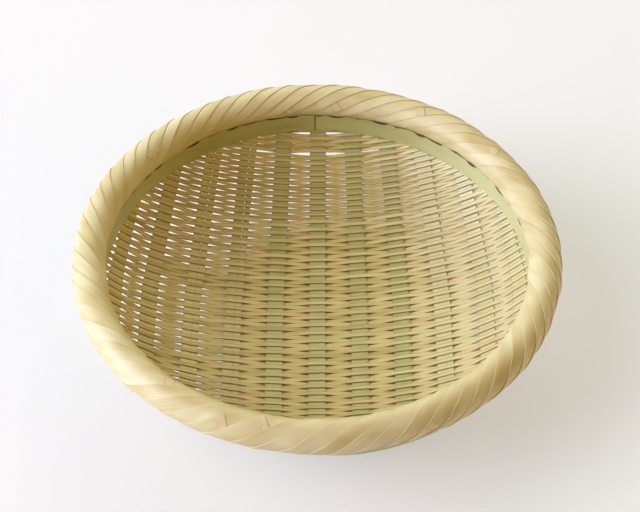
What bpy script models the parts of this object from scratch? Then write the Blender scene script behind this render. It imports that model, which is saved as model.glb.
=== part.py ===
"""A round bamboo draining basket, hand woven, in metres with +Z up.

Eleven flat warps run along Y and long narrow wefts run to and fro along X, over one warp and under the
next. The edge of the weave stands between an inner and an outer hoop, under a rim that is a round core
wound with overlapping strips. Two stiff strips under the floor carry the basket. The origin is on the
surface that it stands on, under the middle of the bowl.
"""

import math

import bmesh
import bpy
import numpy as np
from mathutils import Vector

MILLIMETRE = 0.001

# Rim: a core wound with strips that go once round the basket
RIM_DIAMETER = 0.240
ROLL_DIAMETER = 0.0165
CORE_DIAMETER = 0.0112
WRAP_STRIPS = 7
WRAP_TURNS = 9
WRAP_THICKNESS = 0.0006
WRAP_OVERLAP = 0.0012
WRAP_STEPS = 10
WRAP_END_GAP = 0.0020
# How unevenly a strip advances: less over the outer side of the roll than over the inner side
WRAP_SWAY_SHARE = 0.17

# Hoops that clamp the edge of the weave
HOOP_INSET = 0.00635
INNER_HOOP_THICKNESS = 0.0014
INNER_HOOP_HEIGHT = 0.0112
INNER_HOOP_LIP = 0.0003
INNER_HOOP_BEVEL = 0.0030
OUTER_HOOP_THICKNESS = 0.0018
OUTER_HOOP_HEIGHT = 0.0060
OUTER_HOOP_LAP = 0.038
OUTER_HOOP_RAMP = 0.034
HOOP_STEPS = 64
HOOP_END_GAP = 0.0004
INNER_HOOP_JOINT = math.radians(90)
OUTER_HOOP_JOINT = math.radians(280)

# Bowl: the middle surface of the weave
BOWL_DEPTH = 0.0525
BEND_RADIUS = 0.006
# Height of the bowl at its edge, split among powers of the distance from its middle
RISE_SHARES = ((2, 0.58), (4, 0.23), (8, 0.19))
PROFILE_STEPS = 200
# How often the slope at the bowl's edge is worked out again from where the bend begins
LEAN_ROUNDS = 4

# Warps, flat strips along Y, and their places across the bowl, from the middle one outwards
WARP_WIDTH = 0.0086
WARP_THICKNESS = 0.0007
WARP_STEP = 0.010
# The outermost warps run along the edge of the bowl, and bend across their width
OUTERMOST_WARP_POINTS = 3
WARP_PLACE_SHARES = (0.0, 0.187, 0.375, 0.560, 0.759, 0.935)

# Wefts, narrow strips along X that turn back at the edge, finer on the walls than on the floor
WEFT_THICKNESS = 0.0004
WEFT_SPACING = 0.00035
WEFTS = 9
BACK_WALL_PITCH = 0.00166
BACK_FLOOR_PITCH = 0.00233
FRONT_FLOOR_PITCH = 0.0027
FRONT_WALL_PITCH = 0.0019
FLOOR_SHARE = 0.585
LEAST_ROW_LENGTH = 0.040

# Strips under the floor, which the basket stands on
SUPPORT_WIDTH = 0.009
SUPPORT_THICKNESS = 0.0025
SUPPORT_SPREAD = 0.030
SUPPORT_FLAT_LENGTH = 0.070
SUPPORT_LENGTH = 0.168
SUPPORT_STEPS = 5

# Clearance between pieces that touch, and between a warp and the wefts that bend round its edges
GAP = 0.0003
WEAVE_GAP = 0.0002
# Clearance between the inner hoop and the flat warps that curve round behind it
HOOP_GAP = 0.0005

# Edges sharper than this stay sharp, the others are smooth
SHARP_ANGLE = math.radians(35)

# Bamboo colours and gloss: the green skin, the straw-coloured inside and the pale wrapping
GREEN_SKIN = (0.36, 0.40, 0.16, 1.0)
STRAW_SKIN = (0.60, 0.50, 0.24, 1.0)
STRAW = (0.56, 0.40, 0.16, 1.0)
PALE = (0.70, 0.57, 0.32, 1.0)
HOOP_GREEN = (0.40, 0.42, 0.15, 1.0)
SKIN_ROUGHNESS = 0.42
SPLIT_ROUGHNESS = 0.6
STRAW_WARPS_FROM = 3

RIM_RADIUS = (RIM_DIAMETER - ROLL_DIAMETER) / 2
ROLL_RADIUS = ROLL_DIAMETER / 2
INNER_HOOP_RADIUS = RIM_RADIUS - HOOP_INSET
WALL_RADIUS = INNER_HOOP_RADIUS + INNER_HOOP_THICKNESS + HOOP_GAP + WARP_THICKNESS / 2
OUTER_HOOP_RADIUS = WALL_RADIUS + WARP_THICKNESS / 2 + GAP
# A weft clears a warp's edge with this much between their middle surfaces
EDGE_SEAT = (WARP_THICKNESS + WEFT_THICKNESS) / 2 + WEAVE_GAP


def under_roll(radius):
    """Depth below the roll's centreline at which a piece at this radius clears the roll."""
    aside = radius - RIM_RADIUS
    return math.sqrt((ROLL_RADIUS + GAP) ** 2 - aside**2)


def make_sheet():
    """The bowl's profile as arc length, radius and height above the floor's middle, from the middle out."""
    slope_at_edge = sum(power * share for power, share in RISE_SHARES)
    hoop_bottom = under_roll(INNER_HOOP_RADIUS) + INNER_HOOP_HEIGHT
    rise = BOWL_DEPTH - hoop_bottom - 2 * GAP
    edge, lean = WALL_RADIUS, 0.0
    for _ in range(LEAN_ROUNDS):
        lean = math.atan(slope_at_edge * rise / edge)
        edge = WALL_RADIUS - BEND_RADIUS * (1 - math.sin(lean))
    shares = np.linspace(0, 1, PROFILE_STEPS)
    radii = list(edge * shares)
    heights = list(rise * sum(share * shares**power for power, share in RISE_SHARES))
    for angle in np.linspace(lean, math.pi / 2, PROFILE_STEPS)[1:]:
        radii.append(edge + BEND_RADIUS * (math.sin(angle) - math.sin(lean)))
        heights.append(rise + BEND_RADIUS * (math.cos(lean) - math.cos(angle)))
    radii.append(radii[-1])
    heights.append(BOWL_DEPTH - under_roll(WALL_RADIUS + WARP_THICKNESS / 2) - GAP)
    arc = np.concatenate([[0], np.cumsum(np.hypot(np.diff(radii), np.diff(heights)))])
    bend_from = arc[PROFILE_STEPS - 1]
    return arc, np.array(radii), np.array(heights), bend_from


ARC, ARC_RADII, ARC_HEIGHTS, SHEET_RADIUS = make_sheet()
BEND_END = float(ARC[-2])


def profile_at(distance):
    """The bowl's radius and height at this distance along the sheet from its middle."""
    return np.array([np.interp(distance, ARC, ARC_RADII), np.interp(distance, ARC, ARC_HEIGHTS)])


def tilt_at(distance):
    """The bowl's slope there, as an angle."""
    step = WEFT_THICKNESS
    run, climb = profile_at(distance + step) - profile_at(max(distance - step, 0.0))
    return math.atan2(climb, run)


def seats():
    """How far a weft stands off the bowl's surface at a warp's middle, inside and outside the bowl.

    Its runs from warp to warp are straight, and they have to clear the edges of both warps, where the
    floor is flat and where the bowl bends most.
    """
    places = [share * SHEET_RADIUS for share in WARP_PLACE_SHARES]
    edge_share = WARP_WIDTH / 2 / min(far - near for near, far in zip(places, places[1:]))
    start = places[-2]
    lean = tilt_at(start)
    run, climb = profile_at(places[-1]) - profile_at(start)
    rise = climb * math.cos(lean) - run * math.sin(lean)
    away = edge_share / (1 - edge_share)
    inner = EDGE_SEAT / (1 - edge_share)
    outer = (EDGE_SEAT + edge_share * rise) / (1 - edge_share)
    shared = 1 - away**2
    return (inner + away * outer) / shared, (outer + away * inner) / shared


INNER_SEAT, OUTER_SEAT = seats()
FLOOR_HEIGHT = (
    SUPPORT_THICKNESS + GAP + WEFT_THICKNESS / 2 + OUTER_SEAT
    - float(profile_at(SUPPORT_SPREAD - SUPPORT_WIDTH / 2)[1])
)
RIM_HEIGHT = FLOOR_HEIGHT + BOWL_DEPTH


def on_sheet(across, along, lift=0.0):
    """The point of the bowl where the flat sheet's (across, along) falls, lifted inwards along its normal."""
    distance = math.hypot(across, along)
    radius, height = profile_at(distance)
    tilt = tilt_at(distance)
    radius -= lift * math.sin(tilt)
    height += lift * math.cos(tilt)
    share = radius / distance if distance else 1.0
    return Vector((across * share, along * share, FLOOR_HEIGHT + height))


def material(name, colour, roughness):
    """A bamboo finish: colour, roughness and no metal."""
    made = bpy.data.materials.get(name) or bpy.data.materials.new(name)
    made.use_nodes = True
    shader = made.node_tree.nodes["Principled BSDF"]
    shader.inputs["Base Color"].default_value = colour
    shader.inputs["Roughness"].default_value = roughness
    shader.inputs["Metallic"].default_value = 0.0
    return made


def add_object(name, mesh_data, finish):
    """An object of this bmesh, smooth where it is round."""
    mesh = bpy.data.meshes.new(name)
    mesh_data.to_mesh(mesh)
    mesh_data.free()
    mesh.materials.append(finish)
    mesh.shade_smooth()
    mesh.set_sharp_from_angle(angle=SHARP_ANGLE)
    piece = bpy.data.objects.new(name, mesh)
    bpy.context.scene.collection.objects.link(piece)
    return piece


def ribbon(name, rows, thickness, finish):
    """A flat strip through rows of points across it, given its thickness on both sides of them."""
    strip = bmesh.new()
    bmesh.ops.create_grid(strip, x_segments=len(rows) - 1, y_segments=len(rows[0]) - 1, size=1)
    columns = sorted(strip.verts, key=lambda vert: (round(vert.co.x, 6), vert.co.y))
    for vert, point in zip(columns, [point for row in rows for point in row]):
        vert.co = point
    piece = add_object(name, strip, finish)
    wall = piece.modifiers.new("Thickness", "SOLIDIFY")
    wall.thickness = thickness
    wall.offset = 0
    return piece


def warp_places():
    """Where the warps cross the flat sheet, from left to right, with each one's number from the middle."""
    outwards = [(share * SHEET_RADIUS, index) for index, share in enumerate(WARP_PLACE_SHARES)]
    return [(-place, index) for place, index in reversed(outwards[1:])] + outwards


def warp_rows(place, points):
    """A warp's rows of points across it: even steps over the floor, then along the rings where it bends up."""
    across = np.linspace(place - WARP_WIDTH / 2, place + WARP_WIDTH / 2, points)
    to_bend = np.sqrt(SHEET_RADIUS**2 - across**2)
    steps = math.ceil(max(to_bend) / WARP_STEP)
    half = [to_bend * step / steps for step in range(1, steps + 1)]
    for ring in ((SHEET_RADIUS + BEND_END) / 2, BEND_END, ARC[-1]):
        half.append(np.sqrt(ring**2 - across**2))
    stops = [-along for along in reversed(half)] + [across * 0.0] + half
    return [[on_sheet(*spot) for spot in zip(across, along)] for along in stops]


def make_warps():
    """Flat strips along Y, whose ends stand between the hoops."""
    skin = material("green_skin", GREEN_SKIN, SKIN_ROUGHNESS)
    straw_skin = material("straw_skin", STRAW_SKIN, SKIN_ROUGHNESS)
    outermost = len(WARP_PLACE_SHARES) - 1
    for number, (place, index) in enumerate(warp_places(), 1):
        finish = straw_skin if index >= STRAW_WARPS_FROM else skin
        points = OUTERMOST_WARP_POINTS if index == outermost else 2
        ribbon(f"warp_{number:02d}", warp_rows(place, points), WARP_THICKNESS, finish)


def weft_edge():
    """How far out on the flat sheet a weft turns back, just short of the inner hoop."""
    clear_of_hoop = INNER_SEAT + WEFT_THICKNESS / 2 + GAP
    return SHEET_RADIUS - clear_of_hoop


def weft_rows():
    """The rows' places along the sheet, from the front to the back, with the pitch that each has."""
    last = math.sqrt(weft_edge() ** 2 - (LEAST_ROW_LENGTH / 2) ** 2)
    floor_edge = FLOOR_SHARE * SHEET_RADIUS
    zones = (
        (-last, -floor_edge, FRONT_WALL_PITCH),
        (-floor_edge, 0.0, FRONT_FLOOR_PITCH),
        (0.0, floor_edge, BACK_FLOOR_PITCH),
        (floor_edge, last, BACK_WALL_PITCH),
    )
    rows = []
    for start, end, pitch in zones:
        count = round((end - start) / pitch)
        spacing = (end - start) / count
        rows += [(start + spacing * (index + 1 / 2), spacing) for index in range(count)]
    return rows


def row_stops(number, turns, width):
    """One weft row from left to right: (across, lift) where it crosses each warp, and at its two turns.

    A turn that comes on a warp, or close beside it, stays inside the bowl, and so does its row there.
    """
    clear = (WARP_WIDTH + width) / 2 + GAP
    stops = []
    for place, index in warp_places():
        inside = min(place - turns[0], turns[1] - place)
        over = (number + index) % 2 == 1 or inside < clear
        if inside > 0:
            stops.append((place, INNER_SEAT if over else -OUTER_SEAT))
    first, last = stops[0][1], stops[-1][1]
    lifts = []
    for turn, neighbour in zip(turns, (first, last)):
        on_warp = any(abs(place - turn) < clear for place, _ in warp_places())
        lifts.append(INNER_SEAT if on_warp else math.copysign(EDGE_SEAT, neighbour))
    return [(turns[0], lifts[0]), *stops, (turns[1], lifts[1])]


def make_weft(name, first, rows, finish):
    """One long strip that runs over and under the warps, turning back at the end of each row."""
    width = min(pitch for _, pitch in rows) - WEFT_SPACING
    reaches = [math.sqrt(weft_edge() ** 2 - row**2) for row, _ in rows]
    path = []
    for order, (row, _) in enumerate(rows):
        rightward = order % 2 == 0
        after = min(reaches[order], reaches[order + 1]) if order + 1 < len(rows) else reaches[order]
        before = min(reaches[order], reaches[order - 1]) if order else reaches[order]
        turns = (-before, after) if rightward else (-after, before)
        stops = row_stops(first + order, turns, width)
        path += [(across, row, lift) for across, lift in (stops if rightward else reversed(stops))]
    edges = []
    for index, (across, along, lift) in enumerate(path):
        into = Vector((1.0, 0.0)) if index == 0 else heading(path[index - 1], path[index])
        out = heading(path[index], path[index + 1]) if index + 1 < len(path) else into
        middle = (into + out).normalized()
        side = Vector((-middle.y, middle.x)) * (width / 2 / max(middle.dot(into), math.sqrt(0.5)))
        left = on_sheet(across + side.x, along + side.y, lift)
        right = on_sheet(across - side.x, along - side.y, lift)
        edges.append((left, right))
    return ribbon(name, edges, WEFT_THICKNESS, finish)


def heading(start, end):
    """Direction on the flat sheet from one stop to the next."""
    return Vector((end[0] - start[0], end[1] - start[1])).normalized()


def make_wefts():
    """All wefts, which share the rows among them from the front to the back."""
    straw = material("straw", STRAW, SPLIT_ROUGHNESS)
    rows = weft_rows()
    for number in range(WEFTS):
        first = number * len(rows) // WEFTS
        last = (number + 1) * len(rows) // WEFTS
        make_weft(f"weft_{number + 1:02d}", first, rows[first:last], straw)


def make_inner_hoop():
    """The flat inner hoop: straight inside, bevelled below where the weave comes out from behind it."""
    outside = INNER_HOOP_RADIUS + INNER_HOOP_THICKNESS
    bottom = RIM_HEIGHT - under_roll(INNER_HOOP_RADIUS) - INNER_HOOP_HEIGHT
    profile = (
        (INNER_HOOP_RADIUS, bottom),
        (INNER_HOOP_RADIUS + INNER_HOOP_LIP, bottom),
        (outside, bottom + INNER_HOOP_BEVEL),
        (outside, RIM_HEIGHT - under_roll(outside)),
        (INNER_HOOP_RADIUS, RIM_HEIGHT - under_roll(INNER_HOOP_RADIUS)),
    )
    hoop = bmesh.new()
    half_gap = HOOP_END_GAP / 2 / INNER_HOOP_RADIUS
    start = INNER_HOOP_JOINT + half_gap
    section = [hoop.verts.new((r * math.cos(start), r * math.sin(start), z)) for r, z in profile]
    face = hoop.faces.new(section)
    bmesh.ops.spin(
        hoop,
        geom=[face],
        cent=(0, 0, 0),
        axis=(0, 0, 1),
        angle=2 * math.pi - 2 * half_gap,
        steps=HOOP_STEPS,
        use_duplicate=False,
    )
    bmesh.ops.recalc_face_normals(hoop, faces=hoop.faces)
    add_object("inner_hoop", hoop, material("hoop_green", HOOP_GREEN, SKIN_ROUGHNESS))


def make_outer_hoop():
    """The outer hoop, whose last stretch laps over its first one."""
    middle = OUTER_HOOP_RADIUS + OUTER_HOOP_THICKNESS / 2
    lap_turn = OUTER_HOOP_LAP / middle
    ramp_turn = OUTER_HOOP_RAMP / middle
    step_out = OUTER_HOOP_THICKNESS + GAP
    top = RIM_HEIGHT - ROLL_RADIUS - 2 * GAP
    bottom = top - OUTER_HOOP_HEIGHT
    whole = 2 * math.pi + lap_turn
    angles = sorted({*np.linspace(0, whole, HOOP_STEPS + 1), 2 * math.pi - ramp_turn, 2 * math.pi})
    edges = []
    for turn in angles:
        ramp = min(max((turn - 2 * math.pi + ramp_turn) / ramp_turn, 0.0), 1.0)
        radius = middle + step_out * ramp
        angle = OUTER_HOOP_JOINT + turn
        spot = Vector((radius * math.cos(angle), radius * math.sin(angle), 0.0))
        edges.append((spot + Vector((0, 0, bottom)), spot + Vector((0, 0, top))))
    ribbon("outer_hoop", edges, OUTER_HOOP_THICKNESS, material("hoop_green", HOOP_GREEN, SKIN_ROUGHNESS))


def make_core():
    """The round core of the rim."""
    core = bmesh.new()
    section = bmesh.ops.create_circle(core, segments=WRAP_STEPS, radius=CORE_DIAMETER / 2)["verts"]
    for vert in section:
        vert.co = Vector((RIM_RADIUS + vert.co.x, 0.0, RIM_HEIGHT + vert.co.y))
    bmesh.ops.spin(
        core,
        geom=core.edges[:],
        cent=(0, 0, 0),
        axis=(0, 0, 1),
        angle=2 * math.pi,
        steps=HOOP_STEPS,
        use_merge=True,
    )
    bmesh.ops.recalc_face_normals(core, faces=core.faces)
    add_object("rim_core", core, material("straw", STRAW, SPLIT_ROUGHNESS))


def make_wraps():
    """The strips wound round the core, each lap lying over the next one clockwise."""
    pale = material("pale", PALE, SKIN_ROUGHNESS)
    laps = WRAP_STRIPS * WRAP_TURNS
    lap = 2 * math.pi / laps
    per_turn = 2 * math.pi / WRAP_TURNS
    high = ROLL_RADIUS - WRAP_THICKNESS / 2
    low = high - WRAP_THICKNESS - 2 * GAP
    overlap = WRAP_OVERLAP / RIM_RADIUS
    ends = WRAP_END_GAP / (2 * math.pi * ROLL_RADIUS) * WRAP_STEPS
    for number in range(1, WRAP_STRIPS + 1):
        stops = [ends / 2, *range(1, WRAP_TURNS * WRAP_STEPS), WRAP_TURNS * WRAP_STEPS - ends / 2]
        edges = []
        for stop in stops:
            around = 2 * math.pi * stop / WRAP_STEPS - math.pi / 2
            sway = WRAP_SWAY_SHARE * per_turn / (2 * math.pi) * math.sin(around)
            place = number * lap + per_turn * stop / WRAP_STEPS - sway
            upper = on_roll(place - lap / 2 - overlap, around, high)
            lower = on_roll(place + lap / 2, around, low)
            edges.append((upper, lower))
        ribbon(f"rim_wrap_{number}", edges, WRAP_THICKNESS, pale)
        print(f"rim_wrap_{number} least gap to itself: {least_gap(edges) / MILLIMETRE:.1f} mm")


def least_gap(edges):
    """How near a wound strip comes to itself, measured between points half a turn or more apart."""
    points = np.array(edges)
    apart = WRAP_STEPS // 2
    nearest = min(
        np.linalg.norm(points[index + apart :, None] - points[index, None, :, None], axis=-1).min()
        for index in range(len(points) - apart)
    )
    return nearest - WRAP_THICKNESS


def on_roll(place, around, radius):
    """The point of the roll at this angle round the basket and this angle round the core."""
    reach = RIM_RADIUS + radius * math.cos(around)
    return Vector((reach * math.cos(place), reach * math.sin(place), RIM_HEIGHT + radius * math.sin(around)))


def make_supports():
    """Two stiff strips under the floor, flat in the middle, whose ends bend up against the weave."""
    green = material("hoop_green", HOOP_GREEN, SKIN_ROUGHNESS)
    end = SUPPORT_LENGTH / 2
    flat = SUPPORT_FLAT_LENGTH / 2
    reach = math.hypot(end, SUPPORT_SPREAD)
    below = OUTER_SEAT + (WEFT_THICKNESS + SUPPORT_THICKNESS) / 2 + GAP
    end_height = on_sheet(end * end / reach, SUPPORT_SPREAD * end / reach, -below).z
    flat_height = SUPPORT_THICKNESS / 2
    spans = [flat + (end - flat) * index / SUPPORT_STEPS for index in range(SUPPORT_STEPS + 1)]
    for name, side in (("front_support", -1), ("back_support", 1)):
        edges = []
        for across in [-span for span in reversed(spans)] + spans:
            bend = (abs(across) - flat) / (end - flat)
            height = flat_height + (end_height - flat_height) * bend**2
            near = side * SUPPORT_SPREAD - SUPPORT_WIDTH / 2
            edges.append((Vector((across, near, height)), Vector((across, near + SUPPORT_WIDTH, height))))
        ribbon(name, edges, SUPPORT_THICKNESS, green)


def main():
    """Clears the scene and builds the basket from the floor up."""
    for old in list(bpy.data.objects):
        bpy.data.objects.remove(old)
    make_supports()
    make_warps()
    make_wefts()
    make_outer_hoop()
    make_inner_hoop()
    make_core()
    make_wraps()


main()
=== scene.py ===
"""Looks for the round bamboo draining basket: split strips, hoops and a wound rim, on a pale table.

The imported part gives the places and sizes. Every strip of the weave, both hoops, the winding and the two
strips under the floor are built again here with rounded edges, and each takes a bamboo finish that follows
the strip: fibres run along it, its tone changes from strip to strip, and stains and nodes cross it.
"""

import logging
import math
import random
from dataclasses import dataclass, field, replace
from enum import Enum
from typing import Sequence

import bmesh
import bpy
import numpy as np
from mathutils import Matrix, Vector


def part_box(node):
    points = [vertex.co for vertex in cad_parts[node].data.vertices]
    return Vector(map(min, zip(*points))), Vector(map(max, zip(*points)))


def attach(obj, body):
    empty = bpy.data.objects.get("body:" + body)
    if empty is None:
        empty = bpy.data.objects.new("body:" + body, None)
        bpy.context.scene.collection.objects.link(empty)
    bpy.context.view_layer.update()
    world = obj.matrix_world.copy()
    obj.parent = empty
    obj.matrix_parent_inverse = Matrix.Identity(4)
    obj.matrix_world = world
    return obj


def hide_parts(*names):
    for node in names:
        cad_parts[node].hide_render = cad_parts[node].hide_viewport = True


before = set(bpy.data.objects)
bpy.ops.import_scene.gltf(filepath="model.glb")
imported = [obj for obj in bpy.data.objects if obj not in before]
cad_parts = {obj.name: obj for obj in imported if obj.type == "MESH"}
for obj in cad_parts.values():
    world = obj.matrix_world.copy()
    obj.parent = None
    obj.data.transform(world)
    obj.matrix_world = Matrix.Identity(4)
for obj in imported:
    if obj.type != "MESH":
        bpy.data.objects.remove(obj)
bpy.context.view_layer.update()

log = logging.getLogger("basket")

MM = 0.001

Colour = tuple[float, float, float]
Place = tuple[float, float, float]
Rows = Sequence[Sequence[Vector]]

BLACK: Colour = (0.0, 0.0, 0.0)
# The rays that meet the table as the camera does
RAYS = ("Camera", "Glossy", "Transmission")


class Draw(Enum):
    """The random draws, each with a seed of its own."""

    ROWS = 11
    WARPS = 5
    RIM = 23


def ramp(value: float, low: float, high: float) -> float:
    """How far a number has come from low, as 0, to high, as 1."""
    return min(max((value - low) / (high - low), 0.0), 1.0)


def set_down(name: str, data: bpy.types.ID) -> bpy.types.Object:
    """Adds an object to the scene, at the origin.

    Args:
        name: Its name.
        data: Its mesh, lamp or camera.

    Returns:
        The object.
    """
    made = bpy.data.objects.new(name, data)
    bpy.context.scene.collection.objects.link(made)
    return made


def set_down_mesh(name: str, mesh: bmesh.types.BMesh, finish: bpy.types.Material) -> bpy.types.Object:
    """Adds a mesh to the scene and frees what it was built in.

    Args:
        name: Its name.
        mesh: The mesh, in its place.
        finish: Its material.

    Returns:
        The object.
    """
    data = bpy.data.meshes.new(name)
    mesh.to_mesh(data)
    mesh.free()
    data.materials.append(finish)
    return set_down(name, data)


class Value:
    """A number in a shader: its arithmetic adds Math nodes."""

    def __init__(self, shader: "Shader", socket: bpy.types.NodeSocket) -> None:
        """Wraps a socket.

        Args:
            shader: The shader that the socket is in.
            socket: The output that carries the number.
        """
        self.shader = shader
        self.socket = socket

    def __add__(self, other: "Value | float") -> "Value":
        """Sum."""
        return self.shader.maths("ADD", self, other)

    def __radd__(self, other: float) -> "Value":
        """Sum, with the number first."""
        return self.shader.maths("ADD", other, self)

    def __sub__(self, other: "Value | float") -> "Value":
        """Difference."""
        return self.shader.maths("SUBTRACT", self, other)

    def __rsub__(self, other: float) -> "Value":
        """Difference, with the number first."""
        return self.shader.maths("SUBTRACT", other, self)

    def __mul__(self, other: "Value | float") -> "Value":
        """Product."""
        return self.shader.maths("MULTIPLY", self, other)

    def __rmul__(self, other: float) -> "Value":
        """Product, with the number first."""
        return self.shader.maths("MULTIPLY", other, self)

    def __truediv__(self, other: "Value | float") -> "Value":
        """Quotient."""
        return self.shader.maths("DIVIDE", self, other)

    def __rtruediv__(self, other: float) -> "Value":
        """Quotient, with the number first."""
        return self.shader.maths("DIVIDE", other, self)

    def __abs__(self) -> "Value":
        """Size without its sign."""
        return self.shader.maths("ABSOLUTE", self)

    def clamped(self) -> "Value":
        """The number, held between 0 and 1."""
        return self.shader.node("ShaderNodeClamp", {}, {"Value": self})

    def between(self, low: float, high: float) -> "Value":
        """A soft step.

        Args:
            low: Where the step starts from 0.
            high: Where it reaches 1.

        Returns:
            The step's height at this number.
        """
        inputs = {"Value": self, "From Min": low, "From Max": high}
        return self.shader.node("ShaderNodeMapRange", {"interpolation_type": "SMOOTHSTEP"}, inputs)

    def swing(self, reach: float) -> "Value":
        """A pattern from 0 to 1, turned into one that goes as far as this to both sides of 0."""
        return (self - 0.5) * (2.0 * reach)


class Shader:
    """The nodes of a material or of the world, added one at a time."""

    def __init__(self, owner: bpy.types.Material | bpy.types.World, main: str = "Principled BSDF") -> None:
        """Starts with the nodes that the owner comes with.

        Args:
            owner: The material or the world.
            main: Its own shader node.
        """
        owner.use_nodes = True
        self.owner = owner
        self.tree = owner.node_tree
        self.main = self.tree.nodes[main]

    def fill(self, node: bpy.types.Node, inputs: dict) -> None:
        """Links values to a node's sockets, or sets the sockets to them.

        Args:
            node: The node.
            inputs: Values, numbers, vectors or colours by socket name or number.
        """
        for name, value in inputs.items():
            socket = node.inputs[name]
            if isinstance(value, Value):
                self.tree.links.new(value.socket, socket)
            elif socket.type == "RGBA":
                socket.default_value = (*value, 1.0)
            else:
                socket.default_value = value

    def node(self, kind: str, settings: dict, inputs: dict, output: int | str = 0) -> Value:
        """Adds a node.

        Args:
            kind: Its type.
            settings: Its own settings, set first.
            inputs: Values or links by socket name or number.
            output: The output to hand back.

        Returns:
            That output.
        """
        made = self.tree.nodes.new(kind)
        for name, value in settings.items():
            setattr(made, name, value)
        self.fill(made, inputs)
        return Value(self, made.outputs[output])

    def maths(self, operation: str, *values: "Value | float") -> Value:
        """Adds one Math node.

        Args:
            operation: What it does.
            values: What it works on.

        Returns:
            Its result.
        """
        return self.node("ShaderNodeMath", {"operation": operation}, dict(enumerate(values)))

    def vector_maths(self, operation: str, *values: "Value | Place", output: str = "Vector") -> Value:
        """Adds one Vector Math node.

        Args:
            operation: What it does.
            values: What it works on.
            output: The output to hand back.

        Returns:
            That output.
        """
        return self.node("ShaderNodeVectorMath", {"operation": operation}, dict(enumerate(values)), output)

    def vector(self, x: "Value | float", y: "Value | float", z: "Value | float" = 0.0) -> Value:
        """A vector from three numbers."""
        return self.node("ShaderNodeCombineXYZ", {}, {"X": x, "Y": y, "Z": z})

    def axis(self, at: Value, name: str) -> Value:
        """One of the three numbers of a vector, X, Y or Z."""
        return self.node("ShaderNodeSeparateXYZ", {}, {0: at}, name)

    def place(self) -> Value:
        """Where the point lies on the basket or the table, in metres."""
        return self.node("ShaderNodeTexCoord", {}, {}, "Object")

    def attribute(self, name: str) -> Value:
        """A number that the mesh carries at its points."""
        return self.node("ShaderNodeAttribute", {"attribute_name": name}, {}, "Fac")

    def noise(self, at: Value, detail: float = 2.0, roughness: float = 0.5) -> Value:
        """Soft noise.

        Args:
            at: Where, in units of the noise's own size.
            detail: How many finer layers it has.
            roughness: How strong those are.

        Returns:
            Its height, about 0.5 on average.
        """
        inputs = {"Vector": at, "Scale": 1.0, "Detail": detail, "Roughness": roughness}
        return self.node("ShaderNodeTexNoise", {}, inputs)

    def blend(self, share: "Value | float", first: "Value | Colour", second: "Value | Colour") -> Value:
        """A mix of two colours, which are sockets 6 and 7 of a Mix node.

        Args:
            share: How much of the second.
            first: The colour at 0.
            second: The colour at 1.

        Returns:
            The mixed colour.
        """
        return self.node("ShaderNodeMix", {"data_type": "RGBA"}, {0: share, 6: first, 7: second}, 2)


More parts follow.
